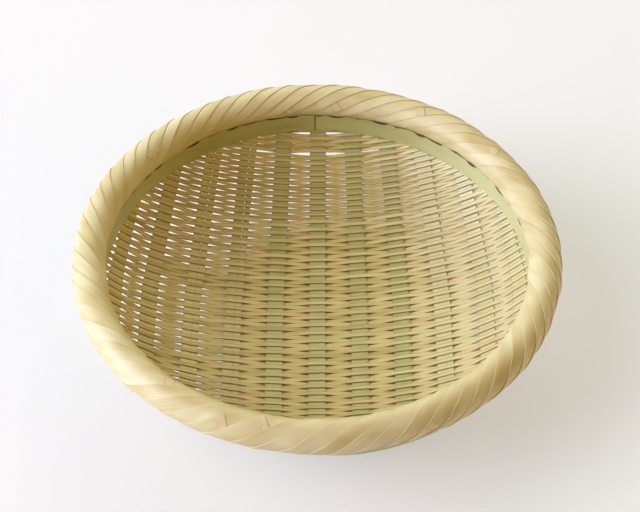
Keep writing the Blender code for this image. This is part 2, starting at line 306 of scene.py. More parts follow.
@dataclass(frozen=True)
class BambooFinish:
    """A strip of bamboo: tones, stains, fibres, nodes and gloss, with painted light and shade."""

    name: str
    slot: str
    light: Colour
    dark: Colour
    # How far each pattern moves the tone between the dark and the light: by strips, patches and fibres
    strip_share: float = 0.8
    patch_share: float = 0.7
    fibre_share: float = 0.45
    patch_length: float = 30 * MM
    patch_width: float = 6 * MM
    fibre_length: float = 20 * MM
    fibre_width: float = 0.22 * MM
    # Each strip's number moves its patterns this far through the noise, and its tone and stains further
    own_step: float = 7.31
    tone_steps: tuple[float, float] = (1.7, 0.9)
    stain_step: float = 1.3
    # Painted light: strips grow paler from one of these places to the other, to the right of the middle,
    # where light from the left falls
    right_light_share: float = 0.0
    right_from: float = 20 * MM
    right_full: float = 90 * MM
    right_lit_tone: Colour = (0.84, 0.78, 0.46)
    stain: Colour = (0.60, 0.27, 0.10)
    stain_share: float = 0.0
    stain_from: float = 0.62
    stain_blur: float = 0.13
    stain_length: float = 24 * MM
    stain_width: float = 4 * MM
    # Painted shade along both edges, from this share of the half width on; a painted highlight where the
    # tone is pale
    painted_edge_tone: Colour = (0.36, 0.25, 0.09)
    painted_edge_share: float = 0.25
    edge_from: float = 0.86
    edge_blur: float = 0.14
    # A node of the cane is a band of this tone, most where the fibres are pale, with a darker rim
    node_tone: Colour = (0.78, 0.62, 0.42)
    node_blur: float = 0.03
    node_least: float = 0.3
    node_fibre: float = 0.7
    node_line: Colour = (0.50, 0.33, 0.15)
    line_blur: float = 0.05
    line_least: float = 0.1
    line_patch: float = 0.45
    fibre_depth: float = 0.04 * MM
    node_depth: float = 0.2 * MM
    roughness: float = 0.5
    roughness_patch: float = 0.125
    node_polish: float = 0.08
    gloss: float = 0.08
    gloss_roughness: float = 0.3

    def make(self) -> bpy.types.Material:
        """Builds the material.

        Returns:
            The finish, which reads the strip's own map and its side and node numbers.
        """
        shader = Shader(bpy.data.materials.new(self.name))
        spot = shader.node("ShaderNodeUVMap", {"uv_map": Strips.MAP}, {})
        along, number_and_across = shader.axis(spot, "X"), shader.axis(spot, "Y")
        number = shader.maths("ROUND", number_and_across)
        across = number_and_across - number
        own = number * self.own_step

        tone = shader.noise(shader.vector(*(own * step for step in self.tone_steps)), detail=0.0)
        patch = shader.noise(shader.vector(along / self.patch_length, across / self.patch_width, own))
        fibre_spot = shader.vector(along / self.fibre_length, across / self.fibre_width, own)
        fibre = shader.noise(fibre_spot, detail=3.0, roughness=0.6)
        share = 0.5 + tone.swing(self.strip_share) + patch.swing(self.patch_share)
        share = share + fibre.swing(self.fibre_share)
        # Painted light: paler towards the right, where the light from the left falls
        if self.right_light_share:
            right = shader.axis(shader.place(), "X").between(self.right_from, self.right_full)
            right = right * self.right_light_share
            colour = shader.blend((share + right).clamped(), self.dark, self.light)
            colour = shader.blend(right, colour, self.right_lit_tone)
        else:
            colour = shader.blend(share.clamped(), self.dark, self.light)
        if self.stain_share:
            own_stain = own * self.stain_step
            stain_spot = shader.vector(along / self.stain_length, across / self.stain_width, own_stain)
            smudge = shader.noise(stain_spot, roughness=0.6)
            mask = smudge.between(self.stain_from, self.stain_from + self.stain_blur)
            colour = shader.blend(mask * self.stain_share, colour, self.stain)
        # Painted shade along the strip's edges where their tone is dark, and a painted highlight where it is
        # pale
        side = abs(shader.attribute(Strips.SIDE)).between(self.edge_from, self.edge_from + self.edge_blur)
        colour = shader.blend(side * self.painted_edge_share, colour, self.painted_edge_tone)

        near, rim = shader.attribute(Strips.NODE), Strips.NODE_RIM
        node = near.between(rim, rim + self.node_blur)
        colour = shader.blend(node * (self.node_least + fibre * self.node_fibre), colour, self.node_tone)
        line = near.between(rim - self.line_blur, rim) - near.between(rim, rim + self.line_blur)
        colour = shader.blend(line * (self.line_least + patch * self.line_patch), colour, self.node_line)

        roughness = self.roughness + patch.swing(self.roughness_patch) - node * self.node_polish
        height = fibre * self.fibre_depth + node * self.node_depth
        inputs = {
            "Base Color": colour,
            "Roughness": roughness.clamped(),
            "Normal": shader.node("ShaderNodeBump", {}, {"Height": height, "Distance": 1.0}),
            "Coat Weight": self.gloss,
            "Coat Roughness": self.gloss_roughness,
        }
        shader.fill(shader.main, inputs)
        return shader.owner


STRAW = BambooFinish(
    "split_bamboo",
    "straw",
    light=(0.745, 0.62, 0.25),
    dark=(0.50, 0.38, 0.09),
    stain=(0.84, 0.51, 0.28),
    stain_share=0.85,
    stain_from=0.57,
    # Painted shade: dark edges for the shadow in the gap beside each row
    painted_edge_tone=(0.30, 0.19, 0.06),
    painted_edge_share=0.85,
    edge_from=0.73,
    fibre_share=0.4,
    # Painted light on the right wall
    right_light_share=0.45,
    strip_share=0.75,
    patch_share=0.75,
    patch_length=20 * MM,
    fibre_width=0.18 * MM,
    roughness=0.45,
    gloss=0.45,
)
GREEN_SKIN = BambooFinish(
    "green_skin_bamboo",
    "green_skin",
    light=(0.55, 0.565, 0.24),
    dark=(0.43, 0.44, 0.15),
    # Painted shade along the warp's edges
    painted_edge_tone=(0.20, 0.17, 0.06),
    painted_edge_share=0.5,
    fibre_share=0.3,
    roughness=0.42,
    gloss=0.4,
)
STRAW_SKIN = replace(
    GREEN_SKIN,
    name="straw_skin_bamboo",
    slot="straw_skin",
    light=(0.77, 0.71, 0.36),
    dark=(0.62, 0.565, 0.24),
    # Painted shade along the warp's edges
    painted_edge_tone=(0.26, 0.19, 0.07),
    painted_edge_share=0.45,
    gloss=0.5,
)
FADED_SKIN = replace(
    STRAW_SKIN,
    name="faded_skin_bamboo",
    slot="green_skin",
    light=(0.68, 0.62, 0.29),
    dark=(0.52, 0.46, 0.17),
    gloss=0.4,
)
PALE = BambooFinish(
    "shaved_pale_bamboo",
    "pale",
    light=(0.87, 0.785, 0.48),
    dark=(0.63, 0.485, 0.185),
    node_tone=(0.84, 0.64, 0.40),
    # Painted highlight: pale seams where the strips' edges catch the light
    painted_edge_tone=(0.92, 0.82, 0.54),
    painted_edge_share=0.7,
    edge_from=0.93,
    fibre_share=0.34,
    strip_share=0.4,
    patch_share=0.85,
    patch_width=11 * MM,
    fibre_width=0.4 * MM,
    fibre_depth=0.03 * MM,
    roughness=0.48,
)
HOOP_GREEN = BambooFinish(
    "hoop_bamboo",
    "hoop_green",
    light=(0.61, 0.605, 0.26),
    dark=(0.42, 0.40, 0.14),
    # Painted light: paler on the right, where the light from the left falls
    right_light_share=0.4,
    right_lit_tone=(0.80, 0.79, 0.46),
    # Painted shade: near-black edges, as slivers of shadow under the roll
    painted_edge_tone=(0.10, 0.05, 0.02),
    painted_edge_share=0.95,
    edge_from=0.84,
    fibre_share=0.4,
    strip_share=0.2,
    patch_share=0.9,
    patch_length=40 * MM,
    patch_width=12 * MM,
    fibre_width=0.4 * MM,
    roughness=0.42,
    gloss=0.9,
)


class Strips:
    """One piece made of flat strips, each a grid of points with rounded edges."""

    MAP = "strip"
    SIDE = "side"
    NODE = "node"
    # The node number falls from 1 at a node to 0 this far off, and the node's rim is where it is this
    NODE_REACH = 10 * MM
    NODE_RIM = 0.77
    # A new grid's points are put in order by places rounded to this many digits
    GRID_DIGITS = 5
    # Edges sharper than this are rounded
    SHARP = math.radians(50)

    def __init__(self, name: str) -> None:
        """Starts an empty piece.

        Args:
            name: The piece's name.
        """
        self.name = name
        self.mesh = bmesh.new()
        self.map = self.mesh.loops.layers.uv.new(self.MAP)
        self.side = self.mesh.verts.layers.float.new(self.SIDE)
        self.node = self.mesh.verts.layers.float.new(self.NODE)

    def add(
        self,
        rows: Rows,
        number: int,
        nodes: Sequence[float] = (),
        start: float = 0.0,
        edges: Sequence[float] = (),
    ) -> None:
        """Lays one strip.

        Args:
            rows: Its rows of points, each from one edge to the other.
            number: The strip's number, which its own tone comes from.
            nodes: How far along it has a node of the cane.
            start: How far along the cane it begins.
            edges: How far the tone of its edges reaches at each row, 1 where none is given.
        """
        ahead_steps, across = len(rows) - 1, len(rows[0]) - 1
        made = bmesh.ops.create_grid(self.mesh, x_segments=ahead_steps, y_segments=across, size=1.0)["verts"]
        ordered = sorted(made, key=lambda vert: (round(vert.co.x, self.GRID_DIGITS), vert.co.y))
        points = np.array([[tuple(point) for point in row] for row in rows])
        middles = points.mean(axis=1)
        steps = np.linalg.norm(np.diff(middles, axis=0), axis=1)
        lengths = np.concatenate([[0.0], np.cumsum(steps)]) + start
        ways = np.gradient(middles, axis=0)
        ways /= np.linalg.norm(ways, axis=1)[:, None]
        offsets = points - middles[:, None]
        ahead = np.einsum("rcx,rx->rc", offsets, ways)
        aside = np.sqrt(np.maximum((offsets**2).sum(axis=2) - ahead**2, 0.0))
        place = {}
        for index, vert in enumerate(ordered):
            row, column = divmod(index, across + 1)
            vert.co = points[row][column]
            side = 2.0 * column / across - 1.0
            vert[self.side] = side * (edges[row] if edges else 1.0)
            far = lengths[row] + ahead[row][column]
            nearest = min((abs(far - spot) for spot in nodes), default=self.NODE_REACH)
            vert[self.node] = max(0.0, 1.0 - nearest / self.NODE_REACH)
            place[vert] = (far, number + math.copysign(aside[row][column], side))
        for face in {face for vert in made for face in vert.link_faces}:
            for loop in face.loops:
                loop[self.map].uv = place[loop.vert]

    def finish(
        self,
        finish: bpy.types.Material,
        thickness: float,
        rounding: float,
        segments: int = 2,
    ) -> bpy.types.Object:
        """Gives the strips their thickness and rounded edges.

        Args:
            finish: Their material.
            thickness: How thick they are.
            rounding: How far their edges are rounded.
            segments: How finely.

        Returns:
            The piece.
        """
        piece = set_down_mesh(self.name, self.mesh, finish)
        piece.data.shade_smooth()
        wall = piece.modifiers.new("Thickness", "SOLIDIFY")
        wall.thickness = thickness
        wall.offset = 0.0
        edge = piece.modifiers.new("Rounding", "BEVEL")
        edge.width = rounding
        edge.segments = segments
        edge.limit_method = "ANGLE"
        edge.angle_limit = self.SHARP
        edge.harden_normals = True
        return piece


def hand_over(piece: bpy.types.Object, slot: str, *nodes: str) -> None:
    """Puts a finished piece on the basket in place of its solids.

    Args:
        piece: The piece.
        slot: The finish's slot; not used.
        nodes: The solids that it stands for.
    """
    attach(piece, "root")
    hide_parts(*nodes)
    log.info("%s stands for %s", piece.name, ", ".join(nodes))


@dataclass
class Bowl:
    """The surface that the weave lies on: a flat sheet of strips laid into a round bowl."""

    gap: float = 0.3 * MM
    warp_thickness: float = 0.7 * MM
    bend_radius: float = 6 * MM
    # The bowl rises with these powers of the distance from its middle, each with its share
    rise_shares: tuple = ((2, 0.58), (4, 0.23), (8, 0.19))
    steps: int = 400
    # How often the lean where the bend starts is worked out, and the step that a slope is taken over
    lean_rounds: int = 4
    slope_step: float = 0.4 * MM

    def __post_init__(self) -> None:
        """Works the profile out from the solids' boxes."""
        warp_low, warp_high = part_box("warp_06")
        self.floor = warp_low[2] + self.warp_thickness / 2
        wall_radius = (warp_high[1] - warp_low[1] - self.warp_thickness) / 2
        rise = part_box("inner_hoop")[0][2] - 2 * self.gap - self.floor
        slope = sum(power * share for power, share in self.rise_shares)
        edge, lean = wall_radius, 0.0
        for _ in range(self.lean_rounds):
            lean = math.atan(slope * rise / edge)
            edge = wall_radius - self.bend_radius * (1 - math.sin(lean))
        shares = np.linspace(0, 1, self.steps)
        radii = list(edge * shares)
        heights = list(rise * sum(share * shares**power for power, share in self.rise_shares))
        for angle in np.linspace(lean, math.pi / 2, self.steps)[1:]:
            radii.append(edge + self.bend_radius * (math.sin(angle) - math.sin(lean)))
            heights.append(rise + self.bend_radius * (math.cos(lean) - math.cos(angle)))
        radii.append(radii[-1])
        heights.append(warp_high[2] - self.floor)
        steps = np.hypot(np.diff(radii), np.diff(heights))
        self.arc = np.concatenate([[0.0], np.cumsum(steps)])
        self.radii = np.array(radii)
        self.heights = np.array(heights)
        self.sheet_radius = float(self.arc[self.steps - 1])
        self.bend_end = float(self.arc[-2])

    def narrowing(self, distance: float) -> float:
        """How much narrower the bowl is than the flat sheet, this far from its middle."""
        return float(np.interp(distance, self.arc, self.radii)) / distance if distance else 1.0

    def point(self, across: float, along: float, lift: float = 0.0) -> Vector:
        """A point of the bowl.

        Args:
            across: Its place on the flat sheet along the wefts.
            along: Its place along the warps.
            lift: How far it stands off the surface, inwards.

        Returns:
            The point in the room.
        """
        distance = math.hypot(across, along)
        far, near = distance + self.slope_step, max(distance - self.slope_step, 0.0)
        run = np.interp(far, self.arc, self.radii) - np.interp(near, self.arc, self.radii)
        climb = np.interp(far, self.arc, self.heights) - np.interp(near, self.arc, self.heights)
        tilt = math.atan2(climb, run)
        radius = np.interp(distance, self.arc, self.radii) - lift * math.sin(tilt)
        height = np.interp(distance, self.arc, self.heights) + lift * math.cos(tilt)
        share = radius / distance if distance else 1.0
        return Vector((across * share, along * share, self.floor + height))


@dataclass
class Warps:
    """The flat strips along Y, a few of them split along their length."""

    bowl: Bowl
    width: float = 8.6 * MM
    # Split warps, by number to the right of the middle: where, as a share of the width, and how far the
    # split gapes at the back
    splits: dict = field(
        default_factory=lambda: {
            -3: (0.08, 0.2 * MM), -2: (0.1, 0.3 * MM), 1: (0.43, 0.05 * MM), 2: (0.42, 0.05 * MM)
        }
    )
    thickness: float = 0.5 * MM
    rounding: float = 0.05 * MM
    open_from: float = 10 * MM
    open_full: float = 60 * MM
    # How much closer together the warps lie at the top of the back wall
    closing: float = 0.085
    closing_from: float = 10 * MM
    closing_full: float = 105 * MM
    step: float = 3.5 * MM
    bend_steps: int = 4
    points_across: int = 3
    # How much cane the strips are cut from, so that each has its own stretch of the pattern
    cane_length: float = 0.6
    # Where the warps lie outwards from the middle one, and from which of them on they are straw-coloured
    place_shares: tuple = (0.0, 0.187, 0.375, 0.560, 0.759, 0.935)
    straw_from: int = 3
    # The warp that has faded, by its number to the right of the middle
    faded: int = -2

    def places(self) -> list[tuple[float, int]]:
        """Where the warps lie.

        Returns:
            Each one's place across the sheet and its number from the middle one.
        """
        reach = self.bowl.sheet_radius
        outwards = [(share * reach, index) for index, share in enumerate(self.place_shares)]
        return [(-place, index) for place, index in reversed(outwards[1:])] + outwards

    def closed(self, place: float, along: float) -> float:
        """Where a warp lies across the sheet.

        Args:
            place: Its place in the middle of the basket.
            along: How far to the back.

        Returns:
            Its place there.
        """
        return place * (1 - self.closing * ramp(along, self.closing_from, self.closing_full))

    def rows(self, place: float, low: float, high: float, gapes: tuple[float, float] = (0.0, 0.0)) -> Rows:
        """A warp's rows of points, or those of one side of its split.

        Args:
            place: The warp's place across the sheet.
            low: Its left edge, from there.
            high: Its right edge.
            gapes: How far each edge is drawn in at the back, beside a split.

        Returns:
            The rows, from the front to the back.
        """
        spread = np.linspace(low, high, self.points_across)
        across = place + spread
        drawn_in = np.linspace(gapes[0], -gapes[1], self.points_across)
        to_bend = np.sqrt(self.bowl.sheet_radius**2 - across**2)
        steps = math.ceil(max(to_bend) / self.step)
        half = [to_bend * step / steps for step in range(1, steps + 1)]
        for ring in np.linspace(self.bowl.sheet_radius, self.bowl.bend_end, self.bend_steps + 1)[1:]:
            half.append(np.sqrt(ring**2 - across**2))
        half.append(np.sqrt(self.bowl.arc[-1] ** 2 - across**2))
        stops = [-along for along in reversed(half)] + [across * 0.0] + half
        rows = []
        for alongs in stops:
            along = alongs[self.points_across // 2]
            offs = spread + drawn_in * ramp(along, self.open_from, self.open_full)
            offs = offs / self.bowl.narrowing(math.hypot(place, along))
            middle = self.closed(place, along)
            rows.append([self.bowl.point(middle + off, far) for off, far in zip(offs, alongs)])
        return rows

    def build(self) -> None:
        """Builds every warp and hands it over."""
        draws = random.Random(Draw.WARPS.value)
        finishes = {finish: finish.make() for finish in (GREEN_SKIN, STRAW_SKIN, FADED_SKIN)}
        edge = self.width / 2
        for number, (place, index) in enumerate(self.places(), 1):
            finish = STRAW_SKIN if index >= self.straw_from else GREEN_SKIN
            to_right = int(math.copysign(index, place))
            if to_right == self.faded:
                finish = FADED_SKIN
            halves = [(-edge, edge)]
            if to_right in self.splits:
                split_share, gape = self.splits[to_right]
                middle = split_share * self.width
                halves = [(-edge, middle, (0.0, gape / 2)), (middle, edge, (gape / 2, 0.0))]
            piece = Strips(f"flat_warp_{number:02d}")
            for side, half in enumerate(halves):
                start = draws.uniform(0.0, self.cane_length)
                piece.add(self.rows(place, *half), 2 * number + side, start=start)
            made = piece.finish(finishes[finish], self.thickness, self.rounding)
            hand_over(made, finish.slot, f"warp_{number:02d}")


@dataclass
class Wefts:
    """The narrow split strips along X, over one warp and under the next."""

    bowl: Bowl
    warps: Warps
    thickness: float = 0.45 * MM
    spacing: float = 0.05 * MM
    rounding: float = 0.1 * MM
    unevenness: float = 0.07
    bands: int = 9
    back_wall_pitch: float = 1.66 * MM
    back_floor_pitch: float = 2.33 * MM
    front_floor_pitch: float = 2.7 * MM
    front_wall_pitch: float = 1.9 * MM
    # Where the floor ends and the walls begin
    floor_share: float = 0.585
    hoop_clearance: float = -0.1 * MM
    end_overrun: float = 1.0 * MM
    skew: float = math.tan(math.radians(2.0))
    # Loose places of the back wall: how many rows lie between each and the hoop, and how wide it is
    loose_places: tuple = ((1, 1.0 * MM), (7, 1.45 * MM))
    loose_length: float = 34 * MM
    loose_reach: float = 4 * MM
    # How many of the last rows at the back are wider, and how many times as wide
    wide_rows: int = 7
    wide_times: float = 1.12
    # How far inside a warp's edge a weft starts to leave it, and how far beyond it lies level again
    hug: float = 0.3 * MM
    release: float = 5.4 * MM
    # A row's wave shrinks behind the hoop, from this far inside the edge of the bowl to this far beyond
    fade_from: float = 2.1 * MM
    fade_end: float = -3.9 * MM
    # How much further off the warps a row may lie
    play: float = 0.12 * MM
    # On the back wall the rows lap like boards: tilted, and wider over a warp. In front they are narrower
    lap_from: float = 15 * MM
    lap_full: float = 75 * MM
    lap_tilt: float = math.radians(13)
    floor_widening: float = -0.08
    lap_widening: float = 0.13
    # A row is drawn a little to the back where it goes over a warp, and more so on the back and left walls
    floor_rise: float = 0.04 * MM
    wall_rise: float = 0.29 * MM
    rise_from: float = 30 * MM
    rise_full: float = 85 * MM
    # To the right the rows are wider and lie straighter
    right_rise: float = 0.05 * MM
    right_widening: float = 0.07
    right_from: float = -5 * MM
    right_full: float = 50 * MM
    # Painted shade on a row's edges: reach halfway between two warps, and its change from left to right
    edge_shade_between: float = 0.80
    edge_shade_places: tuple = ((-90 * MM, 1.1), (-45 * MM, 1.0), (10 * MM, 1.0), (60 * MM, 1.1))
    steps_between: int = 12
    points_at_end: int = 9
    # How much cane the strips are cut from, so that each has its own stretch of the pattern
    cane_length: float = 3.0

    def rows(self, draws: random.Random) -> list[tuple[float, float]]:
        """Every row's place along the sheet and its width.

        Args:
            draws: Where their unevenness comes from.

        Returns:
            The rows, from the front to the back.
        """
        last = self.bowl.sheet_radius - self.hoop_clearance
        floor_edge = self.floor_share * self.bowl.sheet_radius
        zones = (
            (-last, -floor_edge, self.front_wall_pitch, 0),
            (-floor_edge, 0.0, self.front_floor_pitch, 0),
            (0.0, floor_edge, self.back_floor_pitch, 0),
            (floor_edge, last, self.back_wall_pitch, self.wide_rows),
        )
        rows = []
        for start, end, pitch, wide in zones:
            count = round((end - start) / pitch)
            widths = np.array([1 + draws.uniform(-self.unevenness, self.unevenness) for _ in range(count)])
            widths[count - wide :] *= self.wide_times
            widths *= (end - start) / widths.sum()
            ends = start + np.cumsum(widths)
            rows += [(far - width / 2, width - self.spacing) for far, width in zip(ends, widths)]
        return rows

    def loosened(self, across: float, row: float, spots: Sequence[tuple[float, float]]) -> float:
        """How far the loose places push a row aside.

        Args:
            across: The place along the row.
            row: The row's place along the sheet.
            spots: Where the loose places lie along the sheet and how wide each is.

        Returns:
            The push, to the back of a loose place or to its front.
        """
        push = 0.0
        for spot, gap in spots:
            push += math.copysign(gap / 2, row - spot) * math.exp(-abs(row - spot) / self.loose_reach)
        return push * math.exp(-((across / self.loose_length) ** 4))

    def right(self, across: float) -> float:
        """How far a place counts as part of the right wall, whose rows lie tight."""
        return ramp(across, self.right_from, self.right_full)

    def rise(self, across: float, along: float) -> float:
        """How far a row is drawn to the back over a warp, and to the front under one.

        Args:
            across: The place along the row.
            along: The row's place along the sheet.

        Returns:
            That distance.
        """
        wall = self.wall_rise + (self.right_rise - self.wall_rise) * self.right(across)
        out = math.hypot(across, max(along, 0.0))
        return self.floor_rise + (wall - self.floor_rise) * ramp(out, self.rise_from, self.rise_full)

    def wave(self, across: float, row: float, number: int) -> float:
        """How a row passes the nearest warp.

        Args:
            across: The place along the row.
            row: The row's place along the sheet.
            number: The row's number, which says what it goes over.

        Returns:
            1 over a warp, -1 under one and 0 halfway between two.
        """
        warps = self.warps.places()
        off, index = min((abs(self.warps.closed(place, row) - across), index) for place, index in warps)
        sign = -1.0 if (number + index) % 2 == 0 else 1.0
        half = self.warps.width / 2 / self.bowl.narrowing(math.hypot(across, row))
        return sign * (1.0 - ramp(off, half - self.hug, half + self.release))

    def fade(self, across: float, along: float) -> float:
        """How much of its wave a row keeps: less and less behind the hoop."""
        return ramp(self.bowl.sheet_radius - math.hypot(across, along), self.fade_end, self.fade_from)

    def stations(self, low: float, high: float, row: float) -> list[float]:
        """Where one row has points across it.

        Args:
            low: Its left end.
            high: Its right end.
            row: Its place along the sheet.

        Returns:
            The places, from left to right.
        """
        inside = [self.warps.closed(place, row) for place, _ in self.warps.places() if low < place < high]
        stops = list(np.linspace(low, inside[0], self.points_at_end))
        for left, right in zip(inside, inside[1:]):
            stops += list(np.linspace(left, right, self.steps_between + 1))[1:]
        return stops + list(np.linspace(inside[-1], high, self.points_at_end))[1:]

    def strip(
        self, rows: Sequence[tuple[float, float]], number: int, draws: random.Random
    ) -> tuple[list[list[Vector]], list[float]]:
        """One row's points.

        Args:
            rows: Every row's place along the sheet and its width.
            number: The row's number.
            draws: Where its unevenness comes from.

        Returns:
            The rows of points from left to right, and how far the painted shade of its edges reaches at
            each.
        """
        row, width = rows[number]
        spots = [(rows[-before][0] - rows[-before][1] / 2, gap) for before, gap in self.loose_places]
        ring = self.bowl.bend_end + self.end_overrun
        turn = math.sqrt(max(ring**2 - row**2, 0.0))
        lap = ramp(row, self.lap_from, self.lap_full)
        tilt = math.tan(self.lap_tilt * lap)
        widening = self.floor_widening + (self.lap_widening - self.floor_widening) * lap
        play = draws.uniform(0.0, self.play)
        points, edges = [], []
        for across in self.stations(-turn, turn, row):
            wave = self.wave(across, row, number)
            along = row + self.skew * across * (1 - (row / ring) ** 2) + self.rise(across, row) * wave
            along += self.loosened(across, row, spots)
            wider = widening * abs(wave) + self.right_widening * self.right(across) * (1 - lap)
            half = width / 2 * (1 + wider)
            seat = (self.thickness + self.warps.thickness) / 2 + play + half * tilt
            lift = seat * wave * self.fade(across, along)
            offs = (-half, half)
            points.append([self.bowl.point(across, along + off, lift - off * tilt) for off in offs])
            # Painted shade along the row's edges, fullest where it crosses a warp
            reach = float(np.interp(across, *zip(*self.edge_shade_places)))
            edges.append(reach * (self.edge_shade_between + (1 - self.edge_shade_between) * abs(wave)))
        return points, edges

    def build(self) -> None:
        """Builds the rows, band by band, and hands each band over."""
        draws = random.Random(Draw.ROWS.value)
        finish = STRAW.make()
        rows = self.rows(draws)
        for band in range(self.bands):
            first, last = band * len(rows) // self.bands, (band + 1) * len(rows) // self.bands
            piece = Strips(f"split_weft_{band + 1:02d}")
            for number in range(first, last):
                points, edges = self.strip(rows, number, draws)
                piece.add(points, number, start=draws.uniform(0.0, self.cane_length), edges=edges)
            made = piece.finish(finish, self.thickness, self.rounding)
            hand_over(made, STRAW.slot, f"weft_{band + 1:02d}")


def apart(first: float, second: float) -> float:
    """How far two angles are apart, half a turn at most."""
    return abs((first - second + math.pi) % math.tau - math.pi)


@dataclass
class Rim:
    """The round core of the rim, wound with strips that lie over one another."""

    strips: int = 7
    turns: int = 9
    thickness: float = 0.32 * MM
    overlap: float = 1.4 * MM
    drop: float = 0.45 * MM
    steps: int = 44
    across_steps: int = 6
    # How far a turn leans back and forth, as a share of its pitch
    sway_share: float = 0.17
    rounding: float = 0.06 * MM
    # A strip's width varies in waves: the share of the width, and how many go round the basket, each drawn
    # from a range
    uneven_waves: int = 3
    uneven_shares: tuple[float, float] = (0.02, 0.05)
    uneven_rates: tuple[float, float] = (2, 9)
    # The roll's unevenness: size, waves round the basket, waves round the roll and start
    lumps: tuple = (
        (0.12 * MM, 7, 1, 0.4), (0.10 * MM, 13, 0, 2.2), (0.10 * MM, 22, 2, 5.1), (0.09 * MM, 31, -1, 1.3),
        (0.08 * MM, 43, 1, 3.7),
    )
    # Nodes of the cane: degrees round the basket and round the roll, from outwards over the top
    node_places: tuple = (
        (34, 94), (63, 106), (87, 166), (98, 180), (144, 131),
        (231, 103), (247, 53), (256, 78), (299, 10), (358, 153),
    )

    def __post_init__(self) -> None:
        """Takes the roll's place and size from the solids' boxes."""
        core_low, core_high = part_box("rim_core")
        wrap_low, wrap_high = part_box("rim_wrap_1")
        core_radius = (core_high[2] - core_low[2]) / 2
        self.height = (core_high[2] + core_low[2]) / 2
        self.radius = (core_high[0] - core_low[0]) / 2 - core_radius
        self.wrap_radius = (wrap_high[2] - wrap_low[2] - self.thickness) / 2
        self.lap = math.tau / (self.strips * self.turns)

    def on_roll(self, place: float, around: float, radius: float) -> Vector:
        """A point of the roll.

        Args:
            place: Angle round the basket.
            around: Angle round the roll, 0 outwards and a quarter turn on top.
            radius: Distance from the roll's middle line.

        Returns:
            The point.
        """
        for size, waves_round_basket, waves_round_roll, start in self.lumps:
            radius += size * math.sin(waves_round_basket * place + waves_round_roll * around + start)
        reach, height = self.radius + radius * math.cos(around), self.height + radius * math.sin(around)
        return Vector((reach * math.cos(place), reach * math.sin(place), height))

    def row(self, place: float, around: float, uneven: float) -> list[Vector]:
        """One row of points across a strip, from the edge that lies on top to the one below its neighbour.

        Args:
            place: Angle round the basket of the strip's middle.
            around: Angle round the roll.
            uneven: How much narrower the strip is here, as an angle.

        Returns:
            The points.
        """
        overlap = self.overlap / self.radius
        low = place - self.lap / 2 - overlap + uneven
        width = self.lap + overlap - uneven
        points = []
        for column in range(self.across_steps + 1):
            share = column / self.across_steps
            points.append(self.on_roll(low + share * width, around, self.wrap_radius - self.drop * share))
        return points

    def wind(self, number: int, waves: Sequence[Sequence[float]]) -> tuple[Rows, list[float]]:
        """Winds one strip round the roll.

        Args:
            number: The strip's number.
            waves: How its width varies: size, waves round the basket and start.

        Returns:
            Its rows of points, and how far along it has nodes.
        """
        per_turn = math.tau / self.turns
        total = self.turns * self.steps
        rows, nodes = [], []
        length = 0.0
        last = None
        for stop in range(total + 1):
            around = math.tau * stop / self.steps - math.pi / 2
            sway = self.sway_share * per_turn / math.tau * math.sin(around)
            place = number * self.lap + per_turn * stop / self.steps - sway
            fade = min(stop, total - stop, self.steps) / self.steps
            uneven = sum(size * math.sin(rate * place + start) for size, rate, start in waves)
            rows.append(self.row(place, around, self.lap * fade * uneven))
            middle = rows[-1][self.across_steps // 2]
            length += (middle - last).length if last is not None else 0.0
            last = middle
            for azimuth, theta in self.node_places:
                beside = apart(place, math.radians(azimuth)) <= self.lap / 2
                if beside and apart(around, math.radians(theta)) <= math.pi / self.steps:
                    nodes.append(length)
        return rows, nodes

    def build(self) -> None:
        """Builds the winding, strip by strip, and dresses the core."""
        draws = random.Random(Draw.RIM.value)
        finish = PALE.make()
        for number in range(1, self.strips + 1):
            ranges = (self.uneven_shares, self.uneven_rates, (0, math.tau))
            waves = [[draws.uniform(*limits) for limits in ranges] for _ in range(self.uneven_waves)]
            rows, nodes = self.wind(number, waves)
            piece = Strips(f"rim_strip_{number}")
            piece.add(rows, number, nodes=nodes)
            hand_over(piece.finish(finish, self.thickness, self.rounding), PALE.slot, f"rim_wrap_{number}")
        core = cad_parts["rim_core"]
        core.data.materials.clear()
        core.data.materials.append(CoreFinish().make())
        log.info("rim_core dressed")


@dataclass(frozen=True)
class CoreFinish:
    """The rough core, which shows only where the winding parts."""

    light: Colour = (0.42, 0.31, 0.13)
    dark: Colour = (0.16, 0.10, 0.04)
    grains_per_metre: float = 900.0
    roughness: float = 0.7
    roughness_grain: float = 0.1

    def make(self) -> bpy.types.Material:
        """Builds the material.

        Returns:
            The finish, which reads object coordinates.
        """
        shader = Shader(bpy.data.materials.new("rim_core_bamboo"))
        inputs = {0: shader.place(), "Scale": self.grains_per_metre}
        spot = shader.node("ShaderNodeVectorMath", {"operation": "SCALE"}, inputs)
        grain = shader.noise(spot, detail=3.0, roughness=0.6)
        colour = shader.blend(grain, self.dark, self.light)
        roughness = self.roughness + grain.swing(self.roughness_grain)
        shader.fill(shader.main, {"Base Color": colour, "Roughness": roughness})
        return shader.owner


